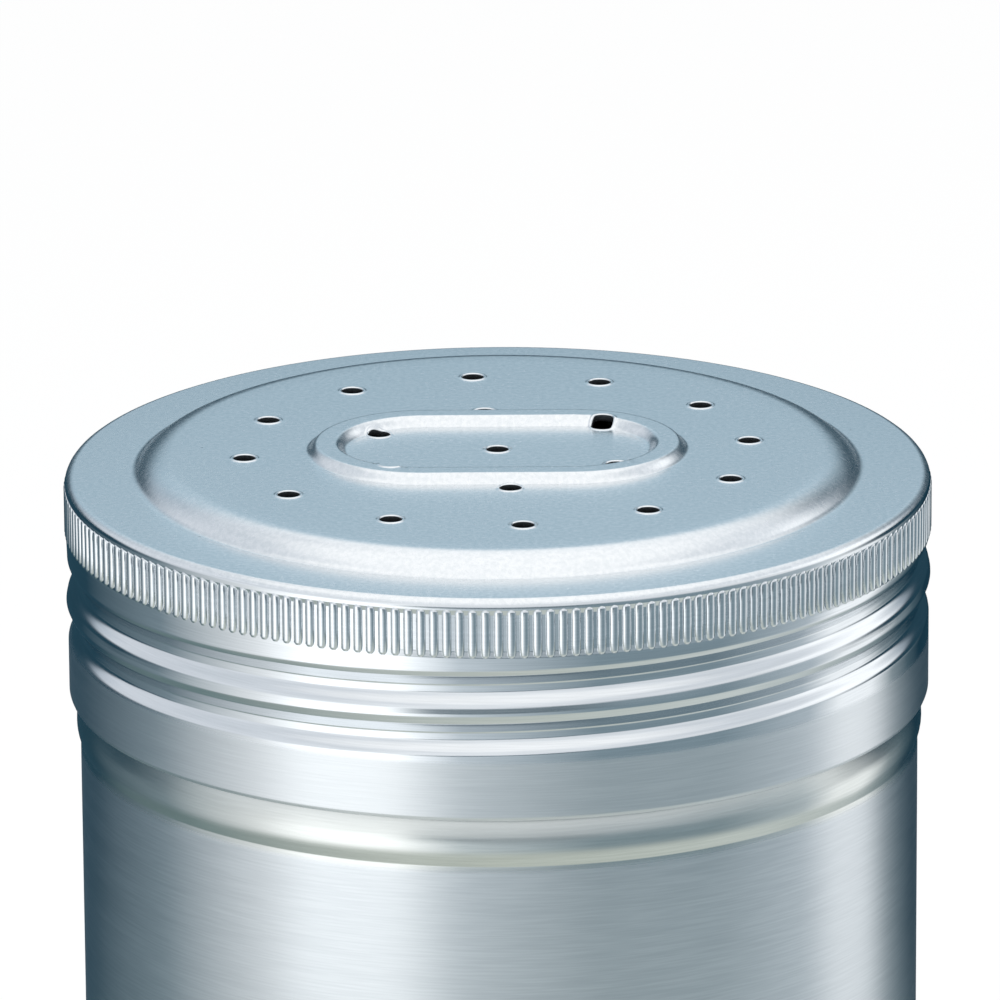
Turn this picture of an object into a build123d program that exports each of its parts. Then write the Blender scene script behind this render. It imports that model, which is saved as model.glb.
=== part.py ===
from build123d import *

import os
from math import atan, radians, sin, tan

# A pressed-steel spice shaker: a deep-drawn can, a knurled and perforated screw cap, and
# the flat packing ring that lies between the two rims. Millimetres, +Z up, origin at the
# centre of the can's foot. Each pressing is revolved from a closed section of its sheet,
# drawn from the middle out along the face that shows and back along the hidden one.

# Overall sizes
can_radius = 33.0  # outside of the straight wall
can_height = 101.2  # foot to the top of the rolled rim
sheet = 0.5  # stainless sheet of both pressings

# Cap
cap_overhang = 1.0  # the skirt stands this far outside the can's wall
lid_rise = 1.5  # the perforated lid above the rim round it
rim_width = 5.6  # outside of the cap to the foot of the lid's step
step_run = 0.8  # how far the step leans in as it rises
rim_bevel = 0.6
edge_bevel = 0.3  # the skirt's lower edge leans in by this much
edge_bevel_height = 0.7

# Knurl round the top of the skirt
tooth_count = 110
knurl_length = 3.8
knurl_depth = 0.3
knurl_sink = 0.04  # the teeth stop this short of the skirt's outside

# Rolled screw thread, right-hand, one start
thread_pitch = 3.8
groove_depth = 1.0  # in the outside of the cap
flank_slope = 1.15  # axial run of a flank for each millimetre of depth
run_out = 0.11  # turns over which the thread fades at each end
cap_turns = 1.72
can_turns = 1.5
thread_angle = 140.0  # where both threads start, seen from above
upper_band = 1.5  # lower end of the knurl to the upper end of the cap's thread
plain_skirt = 5.2  # lower end of the cap's thread to the skirt's lower edge
can_thread_height = 0.95  # it passes inside the skirt, which is wider by more than this
thread_gap = 0.25  # between the cap's thread and the can's neck
flank_gap = 0.2  # up and down, between the two threads where the tight cap bears
bury = 0.1  # threads reach this far into the wall that carries them
fade_depth = 0.02  # and their faded ends stop this far inside it

# Shaker holes and the raised stiffening rib round the middle of the lid
hole_radius = 0.85
inner_ring_radius = 10.2
inner_ring_count = 6
inner_ring_angle = 35.6
outer_ring_radius = 19.85
outer_ring_count = 12
outer_ring_angle = 5.6
stiffener_length = 30.0
stiffener_width = 18.5
stiffener_band = 3.2
stiffener_rise = 0.8
stiffener_lean = 35.0  # degrees that its flanks lean from upright

# Packing ring
packing_thickness = 1.0
packing_width = 3.0
packing_gap = 0.5

# Can
base_bevel = 1.75
foot_width = 4.65  # the can stands on a flat ring, because the base is pushed in
panel_rise = 0.8
panel_run = 1.6  # width of the slope from the ring up to the base
skirt_gap = 0.2  # between the skirt and the stop bead under it
bead_proud = 0.4  # the stop bead beyond the straight wall
bead_height = 3.65
bead_flank = 2.65  # height of the bead's lower flank
notch_depth = 0.4  # the waist between the bead and the wall
shoulder_height = 0.4
rim_roll = 0.55
lip_width = 1.65  # how far the rolled rim reaches in from the neck

# Radii and levels that follow from them
cap_radius = can_radius + cap_overhang
skirt_inside = cap_radius - sheet
ridge_height = groove_depth - sheet + sheet / sin(atan(flank_slope))
ridge_radius = skirt_inside - ridge_height
neck_radius = ridge_radius - thread_gap
neck_inside = neck_radius - sheet
can_thread_radius = neck_radius + can_thread_height
knurl_root = cap_radius - knurl_depth
step_foot = cap_radius - rim_width
step_shift = sheet * tan(atan(lid_rise / step_run) / 2)
lip_radius = neck_radius - lip_width
panel_radius = can_radius - base_bevel - foot_width - panel_run
notch_radius = can_radius - notch_depth
bead_radius = can_radius + bead_proud
stiffener_inset = sheet * tan(radians(90 - stiffener_lean) / 2)

cap_seat = can_height + packing_thickness
rim_top = cap_seat + sheet
lid_top = rim_top + lid_rise
knurl_end = rim_top - rim_bevel - knurl_length
cap_thread_start = knurl_end - upper_band - thread_pitch * cap_turns
skirt_edge = cap_thread_start - plain_skirt
can_thread_lift = flank_slope * (can_thread_radius - ridge_radius) + flank_gap
bead_top = skirt_edge - skirt_gap
notch_level = bead_top - bead_height
shoulder_level = notch_level - shoulder_height


def rolled_thread(surface, height, turns, start):
    """A helical ridge on the wall at radius surface, fading out at both ends.

    Its height is measured from the wall, outwards if positive. It is joined to a
    pressing as a ridge, or taken from one as a groove.
    """
    side = 1 if height > 0 else -1
    root = surface - side * bury
    full = surface + height
    faint = surface - side * fade_depth
    half_foot = flank_slope * (abs(height) + bury)
    even_turns = turns - 2 * run_out

    def section(around, level, reach):
        plane = Plane(
            origin=(0, 0, level),
            x_dir=Vector(1, 0, 0).rotate(Axis.Z, around),
            z_dir=Vector(0, 1, 0).rotate(Axis.Z, around),
        )
        with BuildSketch(plane) as profile:
            with BuildLine():
                Polyline((root, -half_foot), (root, half_foot), (reach, 0), close=True)
            make_face()
        return profile.sketch

    with BuildPart() as fade:
        sweep(
            (
                section(0, 0, full),
                section(360 * run_out, thread_pitch * run_out, faint),
            ),
            path=Helix(thread_pitch, thread_pitch * run_out, root),
            multisection=True,
            is_frenet=True,
        )
    with BuildPart() as thread:
        sweep(
            section(0, 0, full),
            path=Helix(thread_pitch, thread_pitch * even_turns, root),
            is_frenet=True,
        )
        add(fade.part, rotation=(180, 0, 0))
        with Locations(Location((0, 0, thread_pitch * even_turns), (0, 0, 360 * even_turns))):
            add(fade.part)
    lower_end = Location(
        (0, 0, start + thread_pitch * run_out),
        (0, 0, thread_angle + 360 * run_out),
    )
    return thread.part.moved(lower_end)


cap_ridge = rolled_thread(skirt_inside, -ridge_height, cap_turns, cap_thread_start)
cap_groove = rolled_thread(cap_radius, -groove_depth, cap_turns, cap_thread_start)
can_ridge = rolled_thread(
    neck_radius, can_thread_height, can_turns, cap_thread_start + can_thread_lift
)

with BuildPart() as cap:
    with BuildSketch(Plane.XZ):
        with BuildLine():
            Polyline(
                (0, lid_top),
                (step_foot - step_run, lid_top),
                (step_foot, rim_top),
                (cap_radius - rim_bevel, rim_top),
                (cap_radius, rim_top - rim_bevel),
                (cap_radius, skirt_edge + edge_bevel_height),
                (cap_radius - edge_bevel, skirt_edge),
                (skirt_inside, skirt_edge),
                (skirt_inside, cap_seat),
                (step_foot - step_shift, cap_seat),
                (step_foot - step_run - step_shift, lid_top - sheet),
                (0, lid_top - sheet),
                close=True,
            )
        make_face()
    revolve(axis=Axis.Z)

    # Knurl: what lies outside the teeth comes away
    with BuildSketch(Plane.XY.offset(knurl_end)):
        Circle(cap_radius + bury)
        with BuildLine():
            half_tooth = 180 / tooth_count
            tip = Vector(cap_radius - knurl_sink, 0)
            root = Vector(knurl_root, 0)
            Polyline(
                *(
                    (tip, root)[step % 2].rotate(Axis.Z, step * half_tooth)
                    for step in range(2 * tooth_count)
                ),
                close=True,
            )
        make_face(mode=Mode.SUBTRACT)
    extrude(amount=knurl_length, mode=Mode.SUBTRACT)

    # Thread: a ridge inside, and the groove that rolling it leaves outside
    add(cap_ridge)
    add(cap_groove, mode=Mode.SUBTRACT)

    # Stiffening rib, pressed up from below
    with BuildSketch(Plane.XY.offset(lid_top)):
        SlotOverall(stiffener_length, stiffener_width)
        SlotOverall(
            stiffener_length - 2 * stiffener_band,
            stiffener_width - 2 * stiffener_band,
            mode=Mode.SUBTRACT,
        )
    extrude(amount=stiffener_rise, taper=stiffener_lean)
    with BuildSketch(Plane.XY.offset(lid_top - sheet)):
        SlotOverall(
            stiffener_length - 2 * stiffener_inset,
            stiffener_width - 2 * stiffener_inset,
        )
        SlotOverall(
            stiffener_length - 2 * stiffener_band + 2 * stiffener_inset,
            stiffener_width - 2 * stiffener_band + 2 * stiffener_inset,
            mode=Mode.SUBTRACT,
        )
    extrude(amount=stiffener_rise, taper=stiffener_lean, mode=Mode.SUBTRACT)

    # Shaker holes
    with BuildSketch(Plane.XY.offset(lid_top - sheet)):
        Circle(hole_radius)
        with PolarLocations(inner_ring_radius, inner_ring_count, inner_ring_angle):
            Circle(hole_radius)
        with PolarLocations(outer_ring_radius, outer_ring_count, outer_ring_angle):
            Circle(hole_radius)
    extrude(amount=sheet + stiffener_rise, mode=Mode.SUBTRACT)

with BuildPart() as packing_ring:
    with BuildSketch(Plane.XZ):
        with Locations((skirt_inside - packing_gap, cap_seat)):
            Rectangle(packing_width, packing_thickness, align=(Align.MAX, Align.MAX))
    revolve(axis=Axis.Z)

with BuildPart() as can:
    with BuildSketch(Plane.XZ):
        with BuildLine():
            Polyline(
                (0, panel_rise),
                (panel_radius, panel_rise),
                (panel_radius + panel_run, 0),
                (can_radius - base_bevel, 0),
                (can_radius, base_bevel),
                (can_radius, shoulder_level),
                (notch_radius, notch_level),
                (bead_radius, notch_level + bead_flank),
                (neck_radius, bead_top),
                (neck_radius, can_height - rim_roll),
                (neck_radius - rim_roll, can_height),
                (lip_radius, can_height),
                (lip_radius, can_height - sheet),
                (neck_inside, can_height - sheet),
                (neck_inside, notch_level),
                (can_radius - sheet, shoulder_level - sheet),
                (can_radius - sheet, panel_rise + sheet),
                (0, panel_rise + sheet),
                close=True,
            )
        make_face()
    revolve(axis=Axis.Z)

    # Thread
    add(can_ridge)

os.makedirs("parts", exist_ok=True)
cap.part.label = "cap"
packing_ring.part.label = "packing_ring"
can.part.label = "can"
export_step(cap.part, "parts/cap.step")
export_step(packing_ring.part, "parts/packing_ring.step")
export_step(can.part, "parts/can.step")
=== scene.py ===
# %% [markdown]
# # A restaurant spice shaker, finished for rendering
#
# The real object is two pressings of stainless sheet and a ring of rubber. A deep-drawn can
# holds the spice. A screw cap, knurled round its edge and punched with nineteen holes, closes
# it. A flat packing ring lies between the two rims. The CAD model already says where
# everything is and how it moves, so this script only gives the pieces their finished surface.

from math import atan2, ceil, cos, hypot, pi, radians, sin, tan

import bmesh
import bpy
from mathutils import Matrix, Vector
from mathutils.geometry import delaunay_2d_cdt


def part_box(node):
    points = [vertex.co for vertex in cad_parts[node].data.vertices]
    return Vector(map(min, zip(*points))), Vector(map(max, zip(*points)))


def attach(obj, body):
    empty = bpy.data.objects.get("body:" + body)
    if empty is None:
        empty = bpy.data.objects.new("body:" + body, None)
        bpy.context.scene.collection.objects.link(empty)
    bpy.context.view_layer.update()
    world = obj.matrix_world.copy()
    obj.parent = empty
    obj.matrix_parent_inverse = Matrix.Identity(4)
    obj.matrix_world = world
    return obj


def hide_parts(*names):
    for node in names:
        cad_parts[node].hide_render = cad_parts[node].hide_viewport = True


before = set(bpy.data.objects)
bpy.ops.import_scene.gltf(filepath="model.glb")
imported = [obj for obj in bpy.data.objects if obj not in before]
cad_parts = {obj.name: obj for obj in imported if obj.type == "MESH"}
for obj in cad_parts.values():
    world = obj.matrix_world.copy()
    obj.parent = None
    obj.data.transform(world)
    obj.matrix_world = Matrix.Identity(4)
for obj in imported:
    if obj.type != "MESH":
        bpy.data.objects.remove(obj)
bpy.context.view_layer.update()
mm = 0.001

# %% [markdown]
# ## The camera
#
# A long lens from a little above, as for a catalogue. Its place is written as an elevation
# and a distance from the point that it looks at, which is easier to reason about than three
# coordinates. A long lens keeps the cap's two edges nearly parallel.

# %% Camera
camera_elevation = radians(17.35)
camera_distance = 814.5 * mm
camera_roll = radians(-0.37)
lens = 374.0
sensor = 36.0
cap_low, cap_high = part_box("cap")
rib_rise = 0.8 * mm
lid_top = cap_high.z - rib_rise
aim_right = 0.18 * mm
aim_under_lid = 4.15 * mm
aim = Vector((aim_right, 0, lid_top - aim_under_lid))

camera_data = bpy.data.cameras.new("camera")
camera_data.lens = lens
camera_data.sensor_width = sensor
camera_data.clip_start = 0.05
camera_data.clip_end = 20
camera = bpy.data.objects.new("camera", camera_data)
bpy.context.scene.collection.objects.link(camera)
back = Vector((0, -cos(camera_elevation), sin(camera_elevation)))
camera.location = aim + back * camera_distance
facing = back.to_track_quat("Z", "Y").to_matrix()
camera.rotation_euler = (facing @ Matrix.Rotation(camera_roll, 3, "Z")).to_euler()
bpy.context.scene.camera = camera
bpy.context.scene.view_settings.view_transform = "Standard"
print("camera at", [round(x / mm, 1) for x in camera.location], "mm")

# %% [markdown]
# ## Helpers for node trees
#
# Node trees are easier to read as formulas than as boxes and wires. `Wire` stands for one
# socket, and arithmetic on it adds Math nodes. `Tree.add` makes any other node: first its
# settings, then the values or wires of its sockets. Both serve materials, the world and
# Geometry Nodes alike, because the Math node is the same in all three.

# %% Wires
class Wire:
    """An output socket. Arithmetic with it adds Math nodes to its tree."""

    def __init__(self, tree, socket):
        self.tree = tree
        self.socket = socket

    def math(self, operation, *values):
        return self.tree.add("ShaderNodeMath", {"operation": operation}, dict(enumerate(values)))

    def __add__(self, other):
        return self.math("ADD", self, other)

    def __radd__(self, other):
        return self.math("ADD", other, self)

    def __sub__(self, other):
        return self.math("SUBTRACT", self, other)

    def __rsub__(self, other):
        return self.math("SUBTRACT", other, self)

    def __mul__(self, other):
        return self.math("MULTIPLY", self, other)

    def __rmul__(self, other):
        return self.math("MULTIPLY", other, self)

    def __truediv__(self, other):
        return self.math("DIVIDE", self, other)

    def smooth(self, low, high):
        """0 below low, 1 above high, and a soft step between them."""
        settings = {"interpolation_type": "SMOOTHSTEP"}
        sockets = {"Value": self, "From Min": low, "From Max": high}
        return self.tree.add("ShaderNodeMapRange", settings, sockets)


print("a Wire has", sum(callable(part) for part in vars(Wire).values()), "methods")


# %% Trees
class Tree:
    """A node tree to which nodes are added by type."""

    def __init__(self, tree):
        self.tree = tree

    def add(self, kind, settings=None, sockets=None, output=0):
        node = self.tree.nodes.new(kind)
        for name, value in (settings or {}).items():
            if name == "stops":
                ramp = node.color_ramp
                while len(ramp.elements) < len(value):
                    ramp.elements.new(0.5)
                for element, (position, color) in zip(ramp.elements, value):
                    element.position = position
                    element.color = (*color, 1)
            else:
                setattr(node, name, value)
        for name, value in (sockets or {}).items():
            for one in value if isinstance(value, list) else [value]:
                if isinstance(one, Wire):
                    self.tree.links.new(one.socket, node.inputs[name])
                else:
                    node.inputs[name].default_value = one
        if isinstance(output, tuple):
            return tuple(Wire(self, node.outputs[name]) for name in output)
        return Wire(self, node.outputs[output]) if len(node.outputs) else node


def new_material(name):
    """A material with an empty tree, and the tree."""
    material = bpy.data.materials.new(name)
    material.use_nodes = True
    material.node_tree.nodes.clear()
    return material, Tree(material.node_tree)


def blend(tree, share, first, second):
    """A colour between two others."""
    sockets = {"Factor": share, "A": first, "B": second}
    return tree.add("ShaderNodeMix", {"data_type": "RGBA"}, sockets, output=2)


def coordinates(tree, spot):
    """The three coordinates of a position."""
    return tree.add("ShaderNodeSeparateXYZ", sockets={0: spot}, output=("X", "Y", "Z"))


def long_side(first, second):
    """The long side of a right triangle, from the two short ones."""
    square = first * first + second * second
    return square.math("SQRT", square)


print("a Tree adds any node; blend, coordinates and long_side add the commonest")

# %% [markdown]
# ## The studio
#
# Polished and brushed metal shows its surroundings, so the surroundings are most of the
# picture. The object stands on a plain white floor under a white sky. Light Path nodes show
# that white to the camera and to mirrors only: as light it would wash the steel out. The
# floor keeps a little plain paint, which takes the object's shadow.

# %% World and floor
def background_mask(tree):
    """1 for rays that should see the white background: from the camera or from a mirror."""
    names = ("Is Camera Ray", "Is Glossy Ray", "Is Transmission Ray")
    seen, glossy, through = tree.add("ShaderNodeLightPath", output=names)
    return seen.math("MAXIMUM", seen.math("MAXIMUM", seen, glossy), through)


world = bpy.data.worlds.new("studio_sky")
bpy.context.scene.world = world
world.use_nodes = True
world.node_tree.nodes.clear()
sky = Tree(world.node_tree)
cool = {"Color": (0.8, 0.88, 0.95, 1), "Strength": 0.6}
plain_white = {"Color": (1, 1, 1, 1), "Strength": 1.0}
ambient = sky.add("ShaderNodeBackground", sockets=cool)
white = sky.add("ShaderNodeBackground", sockets=plain_white)
both = sky.add("ShaderNodeMixShader", sockets={0: background_mask(sky), 1: ambient, 2: white})
sky.add("ShaderNodeOutputWorld", sockets={"Surface": both})

floor_size = 6.0
glow_share = 0.96
floor_data = bpy.data.meshes.new("floor")
corners = [(x * floor_size, y * floor_size, 0) for x, y in ((-1, -1), (1, -1), (1, 1), (-1, 1))]
floor_data.from_pydata(corners, [], [(0, 1, 2, 3)])
floor = bpy.data.objects.new("floor", floor_data)
bpy.context.scene.collection.objects.link(floor)
floor_paint, paint = new_material("white_floor")
matte = paint.add("ShaderNodeBsdfDiffuse", sockets={"Color": (0.9, 0.9, 0.9, 1)})
glow = paint.add("ShaderNodeEmission", sockets=plain_white)
share = background_mask(paint) * glow_share
mixed = paint.add("ShaderNodeMixShader", sockets={0: share, 1: matte, 2: glow})
paint.add("ShaderNodeOutputMaterial", sockets={"Surface": mixed})
floor_data.materials.append(floor_paint)
print("floor:", 2 * floor_size, "m wide")

# %% [markdown]
# Three soft lamps light what is not metal and cast the shadow. They are hidden from glossy
# rays, because a lamp's square would show in the steel. Each is placed by the compass and by
# its elevation, and points at the object's middle.

# %% Lamps
lamp_target = Vector((0, 0, 60 * mm))
lamp_distance = 0.5


def soft_lamp(name, azimuth, elevation, size, power):
    """A square soft lamp that points at the object. Azimuth 0 is in front, 90 to the right."""
    data = bpy.data.lights.new(name, "AREA")
    data.shape = "SQUARE"
    data.size = size
    data.energy = power
    lamp = bpy.data.objects.new(name, data)
    bpy.context.scene.collection.objects.link(lamp)
    a = radians(azimuth)
    e = radians(elevation)
    out = Vector((sin(a) * cos(e), -cos(a) * cos(e), sin(e)))
    lamp.location = lamp_target + out * lamp_distance
    lamp.rotation_euler = out.to_track_quat("Z", "Y").to_euler()
    lamp.visible_glossy = False
    print(name, "at azimuth", azimuth, "with", power, "W")


soft_lamp("key_lamp", azimuth=-40, elevation=50, size=0.3, power=2.2)
soft_lamp("top_lamp", azimuth=20, elevation=80, size=0.35, power=1.6)
soft_lamp("side_lamp", azimuth=112, elevation=30, size=0.18, power=1.0)

# %% [markdown]
# ## Outlines of sheet metal
#
# A pressing is easiest to describe by its section: a few corners, each with the radius that
# the sheet is bent to. `bent` turns such corners into points, with an arc at each bend.
# `finer` adds points where a later rule will bend the sheet again.

# %% Outlines
def bent(*corners, steps=6):
    """An outline through corners (r, z) or (r, z, bend radius), as a list of points."""
    points = []
    for index, (r, z, *bend) in enumerate(corners):
        spot = Vector((r, z))
        if not bend or index in (0, len(corners) - 1):
            points.append(spot)
            continue
        arm_in = (Vector(corners[index - 1][:2]) - spot).normalized()
        arm_out = (Vector(corners[index + 1][:2]) - spot).normalized()
        half = arm_in.angle(arm_out) / 2
        centre = spot + (arm_in + arm_out).normalized() * bend[0] / sin(half)
        first = spot + arm_in * bend[0] / tan(half) - centre
        last = spot + arm_out * bend[0] / tan(half) - centre
        turn = atan2(first.x * last.y - first.y * last.x, first.dot(last))
        for step in range(steps + 1):
            points.append(centre + Matrix.Rotation(turn * step / steps, 2) @ first)
    return points


def finer(points, low, high, spacing):
    """The same outline, with more points on what lies between two levels."""
    result = points[:1]
    for start, end in zip(points, points[1:]):
        inside = min(start.y, end.y) < high and max(start.y, end.y) > low
        parts = ceil((end - start).length / spacing) if inside else 1
        result += [start.lerp(end, part / parts) for part in range(1, parts + 1)]
    return result


sample = bent((0, 0), (5, 0, 1.0), (5, 5), steps=2)
print("a corner bent to 1 mm:", [tuple(round(v, 2) for v in point) for point in sample])

# %% [markdown]
# `revolve` turns an outline into rows of faces round Z, as a lathe would. Drawing the section
# and turning it by a formula keeps every row level and every column evenly spaced, which the
# brushed finish needs. The pieces are drawn in millimetres and shrunk to metres at the end.

# %% Turned surfaces
def ring_of(mesh, radius, level, columns):
    """A row of vertices round Z."""
    angles = [2 * pi * column / columns for column in range(columns)]
    return [mesh.verts.new((radius * cos(a), radius * sin(a), level)) for a in angles]


def revolve(mesh, points, columns):
    """The surface that the outline makes when it is turned round Z."""
    rows = [ring_of(mesh, r, z, columns) for r, z in points]
    for lower, upper in zip(rows, rows[1:]):
        for column, vertex in enumerate(lower):
            after = (column + 1) % len(lower)
            mesh.faces.new((vertex, lower[after], upper[after], upper[column]))


def to_object(name, mesh, scale=1.0):
    """A bmesh as a new object at the origin, with its faces pointing outwards."""
    bmesh.ops.recalc_face_normals(mesh, faces=mesh.faces)
    data = bpy.data.meshes.new(name)
    mesh.to_mesh(data)
    mesh.free()
    data.transform(Matrix.Scale(scale, 4))
    data.shade_smooth()
    made = bpy.data.objects.new(name, data)
    bpy.context.scene.collection.objects.link(made)
    print(name, "has", len(data.polygons), "faces")
    return made


# %% [markdown]
# ## The tent
#
# A product studio hangs cards and cloth round bright metal, to give white steel on a white
# ground an edge. Here that is a closed drum round and over the object, in metres. The
# object's upright walls, seen from a little above, mirror its floor; the flat lid mirrors a
# blue card low at the back; whatever faces up mirrors the soft white light overhead. Only
# glossy rays see the tent, so it casts no shadow and hides nothing.

# %% Reflection tent
tent_radius = 0.6
tent_height = 0.62
tent_opening = 0.045
tent_bend = 0.3
tent_columns = 96
above_floor = 0.0005
roof_hole = 0.0005

drum = bmesh.new()
drum_outline = bent(
    (tent_opening, above_floor),
    (tent_radius, above_floor, tent_bend),
    (tent_radius, tent_height, tent_bend),
    (roof_hole, tent_height),
)
revolve(drum, drum_outline, tent_columns)
tent = to_object("reflection_tent", drum)
for ray in ("camera", "diffuse", "transmission", "volume_scatter", "shadow"):
    setattr(tent, "visible_" + ray, False)

# %% [markdown]
# The tent's tone goes by the compass and by the level. A colour ramp holds the tones round
# the compass, with 0 degrees in front and positive angles to the right. Tones above 1 are
# lit cloth, which shows as white even in steel that keeps only four fifths of the light.

# %% Compass and tones
cloth, weave = new_material("tent_cloth")
place = weave.add("ShaderNodeTexCoord", output=("Object",))[0]
across, along, up = coordinates(weave, place)
compass = across.math("ARCTAN2", across, along * -1) / (2 * pi) + 0.5
azimuth = (compass - 0.5) * 360

ink = (0.02, 0.06, 0.09)
dim = (0.235, 0.315, 0.36)
bright = (1.48, 1.51, 1.53)
side = (1.12, 1.15, 1.17)
blue_card = (0.445, 0.6, 0.705)
lavender = (0.78, 0.82, 0.88)
soft_white = (1.3, 1.32, 1.34)


def round_compass(*stops):
    """A ramp of tones, each with its azimuth in degrees."""
    settings = {"stops": [(degrees / 360 + 0.5, color) for degrees, color in stops]}
    print("ramp with", len(stops), "stops")
    return weave.add("ShaderNodeValToRGB", settings, {"Fac": compass})


# %% [markdown]
# The floor of the tent makes the tall bands on the can: a bright one from the front left, a
# dim middle, a second bright one from the right, and dark edges. Close to the object lies a
# pale table, which is what the bead and the undersides of the thread mirror.

# %% Floor and table
far_floor = round_compass(
    (-180, ink),
    (-138, ink),
    (-97, (0.21, 0.28, 0.32)),
    (-64, (0.95, 0.98, 1.0)),
    (-50, bright),
    (-26, bright),
    (-10, (0.66, 0.73, 0.78)),
    (25, dim),
    (58, dim),
    (86, (0.50, 0.57, 0.62)),
    (98, side),
    (112, side),
    (124, (0.27, 0.33, 0.36)),
    (135, (0.07, 0.12, 0.15)),
    (146, (0.01, 0.04, 0.065)),
    (180, (0.015, 0.05, 0.075)),
)
table = round_compass(
    (-180, (0.06, 0.11, 0.13)),
    (-90, (0.18, 0.26, 0.26)),
    (-40, (0.43, 0.48, 0.44)),
    (0, (0.62, 0.66, 0.60)),
    (75, (0.72, 0.77, 0.74)),
    (130, (0.30, 0.37, 0.38)),
    (180, (0.06, 0.11, 0.13)),
)
table_edge = (0.12, 0.19)
table_share = 0.9
out = long_side(across, along)
toned = blend(weave, (1 - out.smooth(*table_edge)) * table_share, far_floor, table)

# %% [markdown]
# Above the floor comes the wall of the tent. At the back it starts with a dark strip, which
# outlines the lid's step. Over the strip hangs the blue card that the lid mirrors, with
# black flags on both sides. In front, a dark strip at eye level is the dark side of the
# studio: it draws the thin lines between the turns of the thread.

# %% Walls of the tent
high = round_compass(
    (-180, blue_card),
    (-158, blue_card),
    (-144, (0.44, 0.52, 0.60)),
    (-126, lavender),
    (-98, lavender),
    (-62, (0.88, 0.92, 0.97)),
    (-25, (1.03, 1.06, 1.09)),
    (30, (0.86, 0.89, 0.93)),
    (72, (0.90, 0.93, 0.96)),
    (98, soft_white),
    (123, soft_white),
    (135, (0.42, 0.48, 0.54)),
    (146, (0.12, 0.17, 0.21)),
    (158, (0.32, 0.43, 0.50)),
    (166, blue_card),
    (180, blue_card),
)
strip_levels = (0.05, 0.09)
wall_levels = (0.155, 0.29)
behind = along.smooth(-0.05, 0.25)
strip = up.smooth(*strip_levels) * behind
toned = blend(weave, strip * 0.9, toned, (*ink, 1))
toned = blend(weave, up.smooth(*wall_levels), toned, high)

flag_from = (106, 120)
flag_to = (168, 178)
flag_top = (0.2, 0.28)
sideways = azimuth.math("ABSOLUTE", azimuth)
flags = sideways.smooth(*flag_from) * (1 - sideways.smooth(*flag_to))
flags = flags * (1 - up.smooth(*flag_top)) * behind
flags = flags * strip.math("GREATER_THAN", strip, 0)
toned = blend(weave, flags * 0.93, toned, (*ink, 1))

eye_level = 0.10
dark_side = (0.13, 0.18, 0.21, 1)
at_eyes = up.smooth(eye_level - 0.012, eye_level + 0.008)
at_eyes = at_eyes * (1 - up.smooth(eye_level + 0.08, eye_level + 0.12))
front_left = (-32, -14)
front_right = (14, 34)
in_front = azimuth.smooth(*front_left) * (1 - azimuth.smooth(*front_right))
toned = blend(weave, at_eyes * in_front * 0.92, toned, dark_side)

# %% [markdown]
# The roof is two layers that are read with the slope of the view from the object, because
# what a curved rim mirrors depends on that slope and not on a height. The upper cloth starts
# at about 30 degrees above the object, and the overhead light at about 50.

# %% Roof of the tent
upper_cloth = round_compass(
    (-180, (1.14, 1.16, 1.18)),
    (-166, (1.08, 1.10, 1.12)),
    (-157, (0.82, 0.86, 0.91)),
    (-124, (0.68, 0.73, 0.79)),
    (-64, (0.85, 0.89, 0.94)),
    (0, (1.0, 1.03, 1.06)),
    (75, (0.78, 0.82, 0.87)),
    (125, (0.85, 0.89, 0.94)),
    (166, (1.10, 1.12, 1.14)),
    (180, (1.14, 1.16, 1.18)),
)
overhead_light = (1.16, 1.17, 1.18, 1)
cloth_slope = (0.5, 0.66)
light_slope = (0.74, 0.9)
rise = up - eye_level
steepness = rise / long_side(out, rise)
toned = blend(weave, steepness.smooth(*cloth_slope), toned, upper_cloth)
toned = blend(weave, steepness.smooth(*light_slope), toned, overhead_light)
glow = weave.add("ShaderNodeEmission", sockets={"Color": toned, "Strength": 1.0})
weave.add("ShaderNodeOutputMaterial", sockets={"Surface": glow})
tent.data.materials.append(cloth)
print("tent cloth:", len(cloth.node_tree.nodes), "nodes")

# %% [markdown]
# ## Geometry Nodes, built in script
#
# Three things here follow a rule: the rolled thread, the punched holes and the knurl. Each is
# a Geometry Nodes tree with named inputs for its sizes. `node_group` makes the empty tree,
# `apply_group` sets its inputs on one object and turns the result into a plain mesh. Inputs
# are set by the identifier that Blender gave the socket, because names can repeat.

# %% Node groups for geometry
SOCKETS = {
    float: "NodeSocketFloat",
    int: "NodeSocketInt",
    bpy.types.Material: "NodeSocketMaterial",
}


def node_group(name, inputs):
    """An empty geometry tree with a Mesh input, the named inputs and a Mesh output."""
    group = bpy.data.node_groups.new(name, "GeometryNodeTree")
    group.interface.new_socket("Mesh", in_out="OUTPUT", socket_type="NodeSocketGeometry")
    group.interface.new_socket("Mesh", in_out="INPUT", socket_type="NodeSocketGeometry")
    for label, kind in inputs.items():
        group.interface.new_socket(label, in_out="INPUT", socket_type=SOCKETS[kind])
    tree = Tree(group)
    return tree, tree.add("NodeGroupInput", output=("Mesh", *inputs))


def close_group(tree, mesh, material=None):
    """Ends a geometry tree: real geometry, its material, and the group's output."""
    real = tree.add("GeometryNodeRealizeInstances", sockets={0: mesh})
    if material:
        painted = {"Geometry": real, "Material": material}
        real = tree.add("GeometryNodeSetMaterial", sockets=painted)
    tree.add("NodeGroupOutput", sockets={0: real})
    print(tree.tree.name, "has", len(tree.tree.nodes), "nodes")


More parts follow.
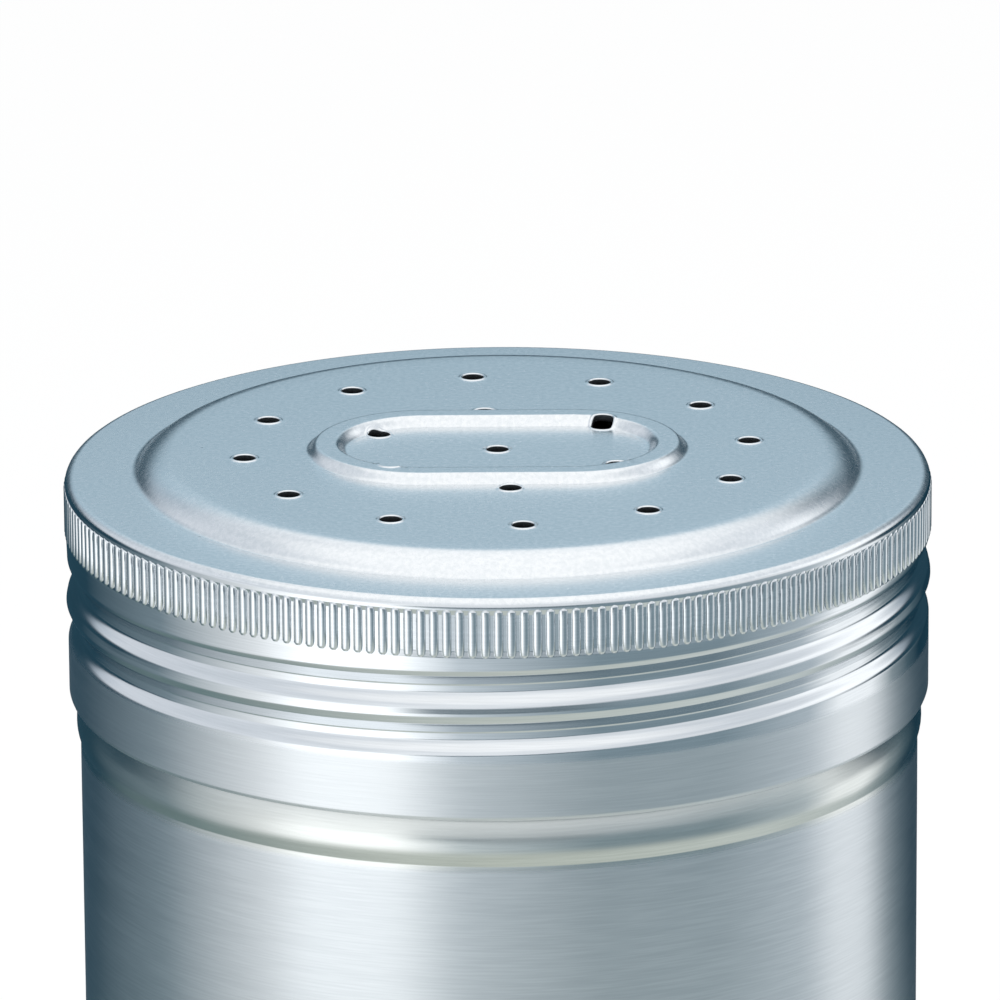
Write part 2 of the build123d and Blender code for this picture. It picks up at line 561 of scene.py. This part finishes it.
def apply_group(owner, group, values):
    """Runs a geometry tree on an object and keeps the result as its plain mesh."""
    modifier = owner.modifiers.new(group.name, "NODES")
    modifier.node_group = group
    items = [item for item in group.interface.items_tree if item.in_out == "INPUT"]
    identifiers = {item.name: item.identifier for item in items}
    for label, value in values.items():
        modifier[identifiers[label]] = value
    graph = bpy.context.evaluated_depsgraph_get()
    result = bpy.data.meshes.new_from_object(owner.evaluated_get(graph))
    owner.modifiers.remove(modifier)
    owner.data = result
    print(owner.name, "after", group.name, "has", len(result.polygons), "faces")


# %% [markdown]
# ## The rolled thread as a rule
#
# A screw thread in sheet metal is rolled after the pressing is drawn: a wheel outside pushes
# the wall into a groove in a die. The wall keeps its thickness, so the groove outside is a
# ridge inside. The rule needs only a point's angle and level. From them comes how far the
# point is above or below the helix, and a smooth step of that distance moves it in or out.
# Between two turns the sheet swells a little, and the wheel leaves fine marks on the flanks.
# The same tree rolls the cap inwards and the can's neck outwards.

# %% Thread tree
thread_sizes = ("Pitch", "Start Level", "Start Angle", "Turns", "Run Out", "Root")
thread_sizes += ("Upper Flank", "Lower Flank", "Depth", "Crown", "Marks", "Marks Spacing")
thread_inputs = {**dict.fromkeys(thread_sizes, float), "Material": bpy.types.Material}
rule, sockets = node_group("roll_thread", thread_inputs)
pressing, pitch, start_level, start_angle, turns, run_out = sockets[:6]
root, upper_flank, lower_flank, depth, crown, marks, marks_spacing, finish = sockets[6:]

spot = rule.add("GeometryNodeInputPosition")
x, y, z = coordinates(rule, spot)
radius = long_side(x, y)
round_share = y.math("ARCTAN2", y, x) / (2 * pi) - start_angle / 360
climb = (z - start_level) / pitch
nearest_turn = climb.math("ROUND", climb - round_share)
along = nearest_turn + round_share
above = pitch * (climb - along)
from_helix = above.math("ABSOLUTE", above)
flank = lower_flank + (upper_flank - lower_flank) * above.math("GREATER_THAN", above, 0)

present = along.smooth(0, run_out) * (turns - along).smooth(0, run_out)
beside = along + above.math("SIGN", above)
paired = present * beside.smooth(0, run_out) * (turns - beside).smooth(0, run_out)

swell_start = 0.9
marks_start = 0.35
marks_rise = 0.25
marks_fade = 0.4
groove = 1 - from_helix.smooth(root, flank)
swell = from_helix.smooth(flank * swell_start, pitch / 2)
wave = above.math("COSINE", above * (2 * pi) / marks_spacing)
on_flank = (above + root + marks_start).smooth(0, marks_rise)
on_flank = on_flank * (1 - above.smooth(upper_flank - marks_fade, upper_flank))
shift = present * (marks * wave * on_flank - depth * groove) + paired * crown * swell
factor = 1 + shift / radius
moved = rule.add("ShaderNodeCombineXYZ", sockets={0: x * factor, 1: y * factor, 2: z})
moving = {"Geometry": pressing, "Position": moved}
rolled = rule.add("GeometryNodeSetPosition", sockets=moving)
close_group(rule, rolled, finish)
roll_thread = rule.tree

# %% [markdown]
# ## Steel
#
# Stainless steel is one metal with many finishes. What differs is the fine relief that
# polishing belts and dies leave. Belts that run round a turning can leave hairlines round
# it, which blur reflections upwards and downwards but hardly sideways: that is what draws
# the tall soft bands on such a can. The Anisotropic socket of the shader does this. Its
# direction is round Z by default, and a quarter turn puts the long side of the blur along Z.
# The noise is read with the cosine and the sine of the angle, so that it has no seam.

# %% Helpers for materials
def end_material(tree, base, normal, roughness, settings):
    """One Principled shader: what varies is linked, what is uniform is set."""
    sockets = {"Base Color": base, "Roughness": roughness, "Normal": normal, **settings}
    shader = tree.add("ShaderNodeBsdfPrincipled", sockets=sockets)
    tree.add("ShaderNodeOutputMaterial", sockets={"Surface": shader})
    print("material with", len(tree.tree.nodes), "nodes")


def relief(tree, height, strength, distance):
    """Bumps from a height between 0 and 1; distance is in millimetres."""
    sockets = {"Strength": strength, "Distance": distance * mm, "Height": height}
    return tree.add("ShaderNodeBump", sockets=sockets)


def noise(tree, vector, scale, detail=2.0):
    """A noise from 0 to 1."""
    sockets = {"Vector": vector, "Scale": scale, "Detail": detail}
    return tree.add("ShaderNodeTexNoise", sockets=sockets)


def object_place(tree):
    """The position on the piece."""
    return tree.add("ShaderNodeTexCoord", output=("Object",))[0]


def hairlines(tree, z, cosine, sine, length, width):
    """Noise drawn out round the axis: a line is about length in turns and width in metres."""
    spread = 1 / (2 * pi * length)
    sockets = {0: cosine * spread, 1: sine * spread, 2: z / width}
    return noise(tree, tree.add("ShaderNodeCombineXYZ", sockets=sockets), 1.0)


def specks(tree, place, spacing, size):
    """Small dots strewn at random: 1 in a dot and 0 outside."""
    sockets = {"Vector": place, "Scale": 1 / spacing, "Randomness": 1.0}
    near, color = tree.add("ShaderNodeTexVoronoi", sockets=sockets, output=("Distance", "Color"))
    chance = tree.add("ShaderNodeSeparateColor", sockets={0: color})
    return (1 - near.smooth(size / spacing * 0.5, size / spacing)) * chance.smooth(0.6, 0.75)


# %% [markdown]
# The finishes change with the level, so the levels come first. They are read from the CAD
# pieces where those show them: the cap's box gives the skirt's edge and the lid, the packing
# ring gives the seat under the rim and the radius of the straight wall.

# %% Levels
can_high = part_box("can")[1]
ring_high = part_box("packing_ring")[1]
sheet = 0.5
skirt_gap = 0.2
bead_height = 3.65
can_top = can_high.z / mm
cap_radius = cap_high.x / mm
can_radius = ring_high.x / mm
lid_level = lid_top / mm
cap_seat = ring_high.z / mm
rim_level = cap_seat + sheet
skirt_edge = cap_low.z / mm
bead_top = skirt_edge - skirt_gap
notch_level = bead_top - bead_height
print("rim at", round(rim_level, 2), "and skirt's edge at", round(skirt_edge, 2), "mm")

# %% [markdown]
# ## The can's steel and the cap's steel
#
# Both are brushed round the axis. The can has longer, coarser hairlines, a few streaks, and
# a faint yellowish tint on its stop bead, which is a painted reflection of the pale table
# below it. The cap's skirt is finer, and its bends are polished brighter by the tools that
# made them. One function makes both, with the band that the tools have worked as two levels.

# %% Brushed steel
# painted reflection: the pale table's yellowish tone, mixed into the stop bead's colour
straw_table_reflection = (0.74, 0.73, 0.60, 1)
scratch_grey = (0.25, 0.26, 0.27, 1)
never_zero = 1e-10


def brushed_steel(name, tint, streak_tint, roughness, polished, line_width, worked_band, painted_reflection_share):
    """Steel brushed round Z, polished brighter between the two levels of worked_band, and tinted
    there with a painted reflection of the table's yellowish tone.
    """
    material, tree = new_material(name)
    place = object_place(tree)
    x, y, z = coordinates(tree, place)
    square = x * x + y * y + never_zero
    radius = square.math("SQRT", square)
    cosine = x / radius
    sine = y / radius
    fine = hairlines(tree, z, cosine, sine, length=0.022, width=line_width)
    coarse = hairlines(tree, z, cosine, sine, length=0.12, width=line_width * 6)
    cloudy = noise(tree, place, scale=45.0)
    scratches = specks(tree, place, spacing=5 * mm, size=0.16 * mm)
    lines = fine * 0.7 + coarse * 0.3

    low, high = worked_band
    fade = 0.6
    worked = z.smooth(low * mm, (low + fade) * mm)
    worked = worked * (1 - z.smooth((high - fade) * mm, high * mm))

    base = blend(tree, lines.smooth(0.3, 0.75), (*streak_tint, 1), (*tint, 1))
    # painted reflection: the table's yellowish tone, painted into the worked band
    base = blend(tree, worked * painted_reflection_share, base, straw_table_reflection)
    base = blend(tree, scratches * 0.6, base, scratch_grey)
    uneven = (lines - 0.5) * 0.12 + (cloudy - 0.5) * 0.05
    rough = roughness - worked * (roughness - polished) + uneven * (1 - worked * 0.7)
    grain = noise(tree, place, scale=7000.0)
    height = (fine * 0.6 + coarse * 0.4 + grain * 0.5) * (1 - worked * 0.85) - scratches * 0.5
    uniform = {"Metallic": 1.0, "Anisotropic": 0.8, "Anisotropic Rotation": 0.25}
    bump = relief(tree, height, strength=0.35, distance=0.012)
    end_material(tree, base, bump, rough, uniform)
    return material


can_steel = brushed_steel(
    "can_brushed_steel",
    tint=(0.745, 0.775, 0.80),
    streak_tint=(0.65, 0.68, 0.705),
    roughness=0.33,
    polished=0.2,
    line_width=0.16 * mm,
    worked_band=(notch_level - 0.8, bead_top + 1),
    # share of the painted table reflection on the can's bead
    painted_reflection_share=0.3,
)
skirt_steel = brushed_steel(
    "cap_brushed_steel",
    tint=(0.775, 0.80, 0.82),
    streak_tint=(0.70, 0.725, 0.745),
    roughness=0.34,
    polished=0.11,
    line_width=0.12 * mm,
    worked_band=(skirt_edge + 4.4, rim_level + 1),
    painted_reflection_share=0.0,
)

# %% [markdown]
# ## Satin steel on the lid
#
# The lid isn't brushed round. It keeps the fine matte grain of the sheet, and reflects the
# card behind it as an even cool tone. Its relief is a fine noise that is the same in all
# directions, with a few pits and handling marks.

# %% Satin steel
satin_steel, tree = new_material("lid_satin_steel")
place = object_place(tree)
grain = noise(tree, place, scale=2600.0, detail=3.0)
clouds = noise(tree, place, scale=60.0)
pits = specks(tree, place, spacing=3.2 * mm, size=0.13 * mm)
base = blend(tree, grain.smooth(0.3, 0.7), (0.76, 0.79, 0.81, 1), (0.84, 0.86, 0.875, 1))
base = blend(tree, pits * 0.55, base, (0.24, 0.27, 0.29, 1))
rough = 0.25 + (grain - 0.5) * 0.12 + (clouds - 0.5) * 0.05
bump = relief(tree, grain - pits * 0.8, strength=0.3, distance=0.01)
end_material(tree, base, bump, rough, {"Metallic": 1.0})

# %% [markdown]
# The walls of the punched holes are torn rather than cut, so they are rough and bumpy. They are
# painted near-black, which is painted shade for the dark inside of each narrow hole.

# %% Cut edges, painted with shade
hole_wall_painted_shade, tree = new_material("punched_edge_painted_shade")
tear = noise(tree, object_place(tree), scale=9000.0)
# near-black base: painted shade for the inside of the narrow holes, varied by the tear noise
base = blend(tree, tear, (0.03, 0.033, 0.036, 1), (0.10, 0.11, 0.12, 1))
bump = relief(tree, tear, strength=0.5, distance=0.02)
end_material(tree, base, bump, 0.5 + tear * 0.2, {"Metallic": 1.0})

# %% [markdown]
# ## Packing rubber
#
# The ring is white food-grade rubber, cut from sheet: matte, faintly mottled, with a little
# grey where it has been gripped. The CAD ring's shape is right, so it stays and only gets
# this finish.

# %% Rubber
rubber, tree = new_material("packing_rubber_white")
place = object_place(tree)
mottle = noise(tree, place, scale=380.0, detail=4.0)
dust = specks(tree, place, spacing=1.6 * mm, size=0.12 * mm)
base = blend(tree, mottle.smooth(0.3, 0.7), (0.80, 0.79, 0.76, 1), (0.86, 0.85, 0.82, 1))
base = blend(tree, dust * 0.4, base, (0.5, 0.5, 0.48, 1))
bump = relief(tree, mottle, strength=0.4, distance=0.03)
end_material(tree, base, bump, 0.52 + mottle * 0.15, {})
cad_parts["packing_ring"].material_slots[0].material = rubber
print("materials:", [m.name for m in bpy.data.materials])

# %% [markdown]
# ## The can
#
# A can like this is drawn from one disc of sheet in a few strokes, so it has no seam: the
# base is pushed in a little to stand on a ring, the wall runs straight up to a stop bead,
# and above it comes the neck, which the cap hides. The whole section is one outline, down
# the outside and back up the inside, so the wall has a real thickness at its rolled lip.

# %% Can's outline
base_rise = 0.8
foot_inside = 26.6
neck_radius = 32.087
neck_inside = neck_radius - sheet
lip_width = 1.65
lip_radius = neck_radius - lip_width
can_outline = bent(
    (0, base_rise),
    (24.8, base_rise, 1.2),
    (foot_inside, 0, 1.0),
    (can_radius, 0, 2.0),
    (can_radius, notch_level - 0.65, 1.5),
    (can_radius - 0.09, notch_level - 0.1, 0.35),
    (can_radius + 0.45, notch_level + 1.45, 3.0),
    (can_radius - 0.3, bead_top + 0.12, 0.12),
    (neck_radius, bead_top + 0.1, 0.1),
    (neck_radius, can_top, 0.55),
    (lip_radius, can_top, 0.24),
    (lip_radius, can_top - sheet, 0.2),
    (neck_inside, can_top - sheet, 0.3),
    (neck_inside, notch_level, 0.4),
    (can_radius - sheet, notch_level - 0.9, 0.4),
    (can_radius - sheet, sheet, 1.6),
    (foot_inside, sheet, 0.8),
    (25.0, base_rise + sheet, 1.2),
    (0, base_rise + sheet),
)
print("can's outline:", len(can_outline), "points")

# %% [markdown]
# The thread's levels follow from the cap, counted down from the rim: the bevel, the knurl, a
# plain band, and then the turns. The can's thread starts a little higher, where its upper
# flank bears on the cap's. Both start at the same angle.

# %% Can
rim_bevel = 0.6
knurl_length = 3.8
upper_band = 1.5
thread_pitch = 3.8
cap_turns = 1.72
flank_slope = 1.15
thread_overlap = 0.7
flank_gap = 0.2
cap_thread_top = rim_level - rim_bevel - knurl_length - upper_band
cap_thread_start = cap_thread_top - cap_turns * thread_pitch
can_thread_start = cap_thread_start + flank_slope * thread_overlap + flank_gap
both_threads = {"Pitch": thread_pitch, "Start Angle": 140.0, "Run Out": 0.11}

can_columns = 256
can_rows = 0.22
neck_band = (can_thread_start - 2, can_thread_start + 7.5)
mesh = bmesh.new()
can_outline = finer(can_outline, *neck_band, can_rows)
revolve(mesh, can_outline, can_columns)
bmesh.ops.remove_doubles(mesh, verts=mesh.verts, dist=1e-5)
can = to_object("can_shell", mesh)
can_thread = {
    **both_threads,
    "Start Level": can_thread_start,
    "Turns": 1.5,
    "Root": 0.0,
    "Upper Flank": 1.2,
    "Lower Flank": 1.0,
    "Depth": -0.85,
    "Crown": 0.0,
    "Marks": 0.0,
    "Marks Spacing": 0.5,
    "Material": can_steel,
}
apply_group(can, roll_thread, can_thread)
can.data.transform(Matrix.Scale(mm, 4))
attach(can, "can")
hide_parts("can")

# %% [markdown]
# ## The cap's skirt and rim
#
# The cap is one pressing too. Its section starts on the flat lid, goes over the soft step,
# out along the rim and down the skirt, and back up the inside. The skirt is drawn in a
# little where the knurl will stand.

# %% Cap's outline
lid_join = 24.0
step_top = 27.0
step_foot = 28.4
knurl_top = rim_level - 0.62
knurl_end = knurl_top - knurl_length
rim_edge = cap_radius - 0.1
knurl_root = cap_radius - 0.27
below_knurl = cap_radius - 0.12
wall = cap_radius - 0.18
hem = cap_radius - 0.3
wall_inside = wall - sheet
rim_inside = cap_radius - 0.25 - sheet
cap_outline = bent(
    (lid_join, lid_level),
    (step_top, lid_level, 3.5),
    (step_foot, rim_level, 0.8),
    (rim_edge, rim_level, 0.75),
    (rim_edge, knurl_top - 0.2, 0.3),
    (knurl_root, knurl_top - 0.6, 0.3),
    (knurl_root, knurl_end + 0.35, 0.6),
    (below_knurl, knurl_end - 0.2, 0.6),
    (wall, knurl_end - 1.9, 1.0),
    (wall, skirt_edge + 0.3, 0.3),
    (hem, skirt_edge, 0.12),
    (hem - sheet, skirt_edge, 0.2),
    (wall_inside, skirt_edge + 0.9, 1.0),
    (wall_inside, knurl_end - 1.0, 1.0),
    (rim_inside, knurl_end, 1.0),
    (rim_inside, cap_seat, 0.3),
    (step_foot - 0.35, cap_seat, 0.8),
    (step_top - 0.2, lid_level - sheet, 2.8),
    (lid_join, lid_level - sheet),
)
lowest = min(range(len(cap_outline)), key=lambda index: cap_outline[index].y)
print("cap's outline:", len(cap_outline), "points, the lowest is number", lowest)

# %% [markdown]
# The thread is rolled into the skirt by the same tree as the can's, inwards this time. The
# rows are close together outside, where the light plays on the groove, and wider inside.

# %% Cap outside the lid
cap_columns = 300
rows_outside = 0.13
rows_inside = 0.4
threaded = (cap_thread_start - 1, knurl_end - 1.3)
mesh = bmesh.new()
outside = finer(cap_outline[: lowest + 1], *threaded, rows_outside)
inside = finer(cap_outline[lowest:], *threaded, rows_inside)
revolve(mesh, outside + inside[1:], cap_columns)
skirt = to_object("cap_skirt", mesh)
cap_thread = {
    **both_threads,
    "Start Level": cap_thread_start,
    "Turns": cap_turns,
    "Root": 0.16,
    "Upper Flank": 1.7,
    "Lower Flank": 1.36,
    "Depth": 0.8,
    "Crown": 0.11,
    "Marks": 0.013,
    "Marks Spacing": 0.6,
    "Material": skirt_steel,
}
apply_group(skirt, roll_thread, cap_thread)

# %% [markdown]
# ## The lid: first flat, then pressed
#
# The lid's middle is a flat disc. A stiffening rib is pressed up in it, a band that follows
# a racetrack, the outline of a slot. The disc is a mesh of well-placed points: rows that
# follow the racetrack where the sheet will bend, a round opening for every hole, and a
# loose grid for the rest.

# %% Sizes of the lid
rib_length = 30.0
rib_width = 18.5
rib_out = rib_width / 2
slot_half = (rib_length - rib_width) / 2
rib_band = 3.2
rib_run = 0.9
lip_height = 0.08
rib_height = rib_rise / mm - lip_height
hole_radius = 0.85
rim_reach = 1.35
rim_columns = 32
inner_ring = (6, 10.2, 35.6)
outer_ring = (12, 19.85, 5.6)


def circle_points(radius, count, first=0.0, centre=(0, 0)):
    """Points on a circle; first is the angle of the first one, in degrees."""
    angles = [radians(first) + 2 * pi * step / count for step in range(count)]
    return [Vector((centre[0] + radius * cos(a), centre[1] + radius * sin(a))) for a in angles]


def to_hole(spot):
    """Distance of a point from the nearest hole's centre."""
    return min((spot - centre).length for centre in hole_centres)


hole_centres = [Vector((0, 0))]
for count, radius, first in (inner_ring, outer_ring):
    hole_centres += circle_points(radius, count, first)
print("holes:", len(hole_centres))

# %% [markdown]
# Rows along the rib are laid at fixed distances from the slot's middle line, closest on the
# two flanks. The grid stays clear of them, and everything stays clear of the holes.

# %% Points of the lid
def slot_points(distances, spacing):
    """Points on rows round the slot, each row at one distance from its middle line."""
    points = []
    straight = round(2 * slot_half / spacing)
    arc = round(pi * rib_out / spacing)
    rays = [(slot_half * (1 - 2 * step / straight), pi / 2) for step in range(straight)]
    rays += [(-slot_half, pi / 2 + pi * step / arc) for step in range(arc)]
    for start, angle in rays:
        for distance in distances:
            spot = Vector((start + distance * cos(angle), distance * sin(angle)))
            points += [spot, -spot]
    return points


def slot_distance(spot):
    """Distance of a point from the slot's middle line."""
    return hypot(max(abs(spot.x) - slot_half, 0), spot.y)


flank_rows = 9
margin = 0.12
bend_rows = [-0.45, -margin]
bend_rows += [rib_run * step / flank_rows for step in range(flank_rows + 1)]
bend_rows += [rib_run + margin]
rows = [rib_out - row for row in bend_rows] + [rib_out - rib_band + row for row in bend_rows]
filling = slot_points(rows, spacing=0.32)

grid = 1.3
row_height = 0.866
rib_clearance = 1.0
grid_end = lid_join - 1.2
steps_x = ceil(lid_join / grid)
steps_y = ceil(lid_join / (grid * row_height))
for step_x in range(-steps_x, steps_x + 1):
    for step_y in range(-steps_y, steps_y + 1):
        spot = Vector(((step_x + 0.5 * (step_y % 2)) * grid, step_y * grid * row_height))
        on_rib = rib_out - rib_band - rib_clearance < slot_distance(spot) < rib_out + rib_clearance
        if not on_rib and spot.length < grid_end:
            filling.append(spot)
filling += circle_points(lid_join - 0.4, cap_columns // 2)
filling = [spot for spot in filling if to_hole(spot) > rim_reach + margin]
print("loose points on the lid:", len(filling))

# %% [markdown]
# A Delaunay triangulation joins the points, with the openings as edges that it has to keep.
# The same triangles serve the upper and the lower face of the sheet.

# %% Lid plate
points = circle_points(lid_join, cap_columns)
edges = []
for centre in hole_centres:
    first = len(points)
    points += circle_points(rim_reach, rim_columns, centre=centre)
    edges += [(first + step, first + (step + 1) % rim_columns) for step in range(rim_columns)]
flat, _, triangles, *_ = delaunay_2d_cdt(points + filling, edges, [], 0, 1e-5)
opening = rim_reach * 0.99
mesh = bmesh.new()
for level, order in ((lid_level, 1), (lid_level - sheet, -1)):
    placed = [mesh.verts.new((spot.x, spot.y, level)) for spot in flat]
    for triangle in triangles:
        middle = sum((flat[index] for index in triangle), Vector((0, 0))) / 3
        if to_hole(middle) > opening:
            mesh.faces.new([placed[index] for index in triangle[::order]])
loose = [vertex for vertex in mesh.verts if not vertex.link_faces]
bmesh.ops.delete(mesh, geom=loose, context="VERTS")
lid = to_object("lid_plate", mesh)

# %% [markdown]
# The press comes afterwards, as a rule: up over one flank of the rib, level on top, and down
# over the other. A point's distance from the slot's middle line says how far it rises.

# %% Press tree
press_sizes = ("Slot Half", "Rib Outside", "Rib Band", "Rib Run", "Rib Height")
press_inputs = {**dict.fromkeys(press_sizes, float), "Material": bpy.types.Material}
press, sockets = node_group("press_rib", press_inputs)
plate, half, outside_line, band, run, height, finish = sockets
spot = press.add("GeometryNodeInputPosition")
x, y, z = coordinates(press, spot)
past = x.math("ABSOLUTE", x) - half
past = past.math("MAXIMUM", past, 0)
distance = long_side(past, y)
outer_flank = 1 - distance.smooth(outside_line - run, outside_line)
inner_flank = distance.smooth(outside_line - band, outside_line - band + run)
lift = press.add("ShaderNodeCombineXYZ", sockets={2: height * outer_flank * inner_flank})
pressed = press.add("GeometryNodeSetPosition", sockets={"Geometry": plate, "Offset": lift})
close_group(press, pressed, finish)
press_rib = press.tree
rib_values = dict(zip(press_sizes, (slot_half, rib_out, rib_band, rib_run, rib_height)))
apply_group(lid, press_rib, {**rib_values, "Material": satin_steel})

# %% [markdown]
# ## Nineteen punched holes
#
# A press punches the holes in one stroke: one in the middle, six round it and twelve round
# those. The punch throws up a faint lip round each hole, and the wall below it is torn, with
# the shade inside the hole painted on it as near-black. One rim is drawn as an outline and turned.

# %% One hole's rim
rim_outline = bent(
    (rim_reach, 0),
    (hole_radius + 0.3, 0, 0.2),
    (hole_radius + 0.13, lip_height + 0.02, 0.1),
    (hole_radius, 0.0, 0.12),
    (hole_radius, -sheet, 0.03),
    (rim_reach, -sheet),
    steps=2,
)
mesh = bmesh.new()
revolve(mesh, [Vector((r, lid_level + z)) for r, z in rim_outline], rim_columns)
rims = to_object("hole_rims", mesh)

# %% [markdown]
# The tree sets copies of the rim on two circles and one in the middle, and then presses them
# with the same rule as the plate, because some of them lie on the flanks of the rib.

# %% Punch tree
ring_sizes = ("Count", "Radius", "Angle")
ring_kinds = dict(zip(ring_sizes, (int, float, float)))
ring_inputs = {}
ring_values = {}
for ring, values in (("Inner ", inner_ring), ("Outer ", outer_ring)):
    ring_inputs.update({ring + size: kind for size, kind in ring_kinds.items()})
    ring_values.update({ring + size: value for size, value in zip(ring_sizes, values)})
punch, sockets = node_group("punch_holes", {**ring_inputs, **press_inputs})
one_rim = sockets[0]
spread = [one_rim]
for count, radius, first in (sockets[1:4], sockets[4:7]):
    circle = punch.add("GeometryNodeMeshCircle", sockets={"Vertices": count, "Radius": radius})
    turn = punch.add("ShaderNodeCombineXYZ", sockets={2: first * (pi / 180)})
    turned = punch.add("GeometryNodeTransform", sockets={"Geometry": circle, "Rotation": turn})
    set_out = {"Points": turned, "Instance": one_rim}
    spread.append(punch.add("GeometryNodeInstanceOnPoints", sockets=set_out))
joined = punch.add("GeometryNodeJoinGeometry", sockets={0: spread})
real = punch.add("GeometryNodeRealizeInstances", sockets={0: joined})
press_values = {"Mesh": real, **dict(zip(press_inputs, sockets[7:]))}
fitted = punch.add("GeometryNodeGroup", {"node_tree": press_rib}, press_values)
close_group(punch, fitted)
apply_group(rims, punch.tree, {**ring_values, **rib_values, "Material": satin_steel})

# %% [markdown]
# ## One skin
#
# Plate, hole rims and skirt meet point to point, so they are sewn together into one closed
# skin. Weighted normals keep the flat stretches flat between the bends. The finish goes by
# the place: satin above the rim's edge, near-black painted shade on the walls of the holes,
# and brushed steel everywhere else.

# %% Sew the cap together
satin_end = rim_level - 0.35
upright = 0.35
sewing_distance = 1e-3
mesh = bmesh.new()
for piece in (lid, rims, skirt):
    mesh.from_mesh(piece.data)
bmesh.ops.remove_doubles(mesh, verts=mesh.verts, dist=sewing_distance)
for face in mesh.faces:
    middle = face.calc_center_median()
    face.material_index = 0 if middle.z > satin_end else 1
    # the walls of the holes get the near-black painted shade
    if abs(face.normal.z) < upright and hypot(middle.x, middle.y) < lid_join - 1:
        face.material_index = 2
open_edges = sum(1 for edge in mesh.edges if len(edge.link_faces) != 2)
print("open or shared edges in the cap's skin:", open_edges)
cap = to_object("cap_shell", mesh, mm)
cap.data.set_sharp_from_angle(angle=radians(50))
even = cap.modifiers.new("even_normals", "WEIGHTED_NORMAL")
even.keep_sharp = True
even.weight = 100
for used in (satin_steel, skirt_steel, hole_wall_painted_shade):
    cap.data.materials.append(used)
for spare in (lid, rims, skirt):
    bpy.data.objects.remove(spare)
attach(cap, "cap")
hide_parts("cap")

# %% [markdown]
# ## The knurl
#
# A knurling wheel presses short upright ribs round the top of the skirt, so that dry or wet
# fingers can turn the cap. The tree makes one rib, a rod with rounded ends that is sunk
# halfway into the skirt, and stands copies of it on a circle. The rib starts as a coarse
# ball, because two hundred of them have to stay light: its halves are drawn apart, its sides
# made squarer, and its front fuller.

# %% Knurl tree
knurl_sizes = ("Radius", "Level", "Rib Length", "Rib Width", "Proud")
knurl_inputs = {"Count": int, **dict.fromkeys(knurl_sizes, float)}
knurl_inputs["Material"] = bpy.types.Material
wheel, sockets = node_group("knurl", knurl_inputs)
count, ring_radius, level, length, width, proud, finish = sockets[1:]
ball_sizes = {"Segments": 12, "Rings": 5, "Radius": 1.0}
ball = wheel.add("GeometryNodeMeshUVSphere", sockets=ball_sizes)
spot = wheel.add("GeometryNodeInputPosition")
x, y, z = coordinates(wheel, spot)
straight = (length - width) / 2
stretched = z * (width / 2) + z.math("SIGN", z) * straight

side_power = 1.6
front_power = 0.5
out = long_side(x, y)
aside = y / out
square = y.math("POWER", aside.math("ABSOLUTE", aside), side_power)
square = out * y.math("SIGN", y) * square
full = x.math("SIGN", x) * x.math("POWER", x.math("ABSOLUTE", x), front_power)
rib_place = {0: full * proud, 1: square * (width / 2), 2: stretched}
shaped = wheel.add("ShaderNodeCombineXYZ", sockets=rib_place)
rib = wheel.add("GeometryNodeSetPosition", sockets={"Geometry": ball, "Position": shaped})

circle_sizes = {"Vertices": count, "Radius": ring_radius}
circle = wheel.add("GeometryNodeMeshCircle", sockets=circle_sizes)
lift = wheel.add("ShaderNodeCombineXYZ", sockets={2: level})
lifted = wheel.add("GeometryNodeTransform", sockets={"Geometry": circle, "Translation": lift})
index = wheel.add("GeometryNodeInputIndex")
turn = wheel.add("ShaderNodeCombineXYZ", sockets={2: index * (2 * pi) / count})
stood = {"Points": lifted, "Instance": rib, "Rotation": turn}
ribs = wheel.add("GeometryNodeInstanceOnPoints", sockets=stood)
close_group(wheel, ribs, finish)

# %% [markdown]
# The ribs reach the cap's full radius, which the wall behind them keeps short of.

# %% Knurl
rib_proud = 0.3
rib_middle = rim_level - 2.68
knurl_values = {
    "Count": 216,
    "Radius": cap_radius - rib_proud,
    "Level": rib_middle,
    "Rib Length": 3.95,
    "Rib Width": 0.80,
    "Proud": rib_proud,
    "Material": skirt_steel,
}
knurl = to_object("cap_knurl", bmesh.new())
apply_group(knurl, wheel.tree, knurl_values)
knurl.data.transform(Matrix.Scale(mm, 4))
knurl.data.shade_smooth()
knurl.data.set_sharp_from_angle(angle=radians(70))
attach(knurl, "cap")

# %% [markdown]
# ## Measure and finish
#
# The face count and the lowest and highest levels of each visual piece are printed. The
# visual model has to stay in the CAD model's box.

# %% Sizes
for piece in (can, cap, knurl):
    levels = [round(corner[2] / mm, 2) for corner in piece.bound_box]
    print(piece.name, len(piece.data.polygons), "faces, z", min(levels), "to", max(levels))
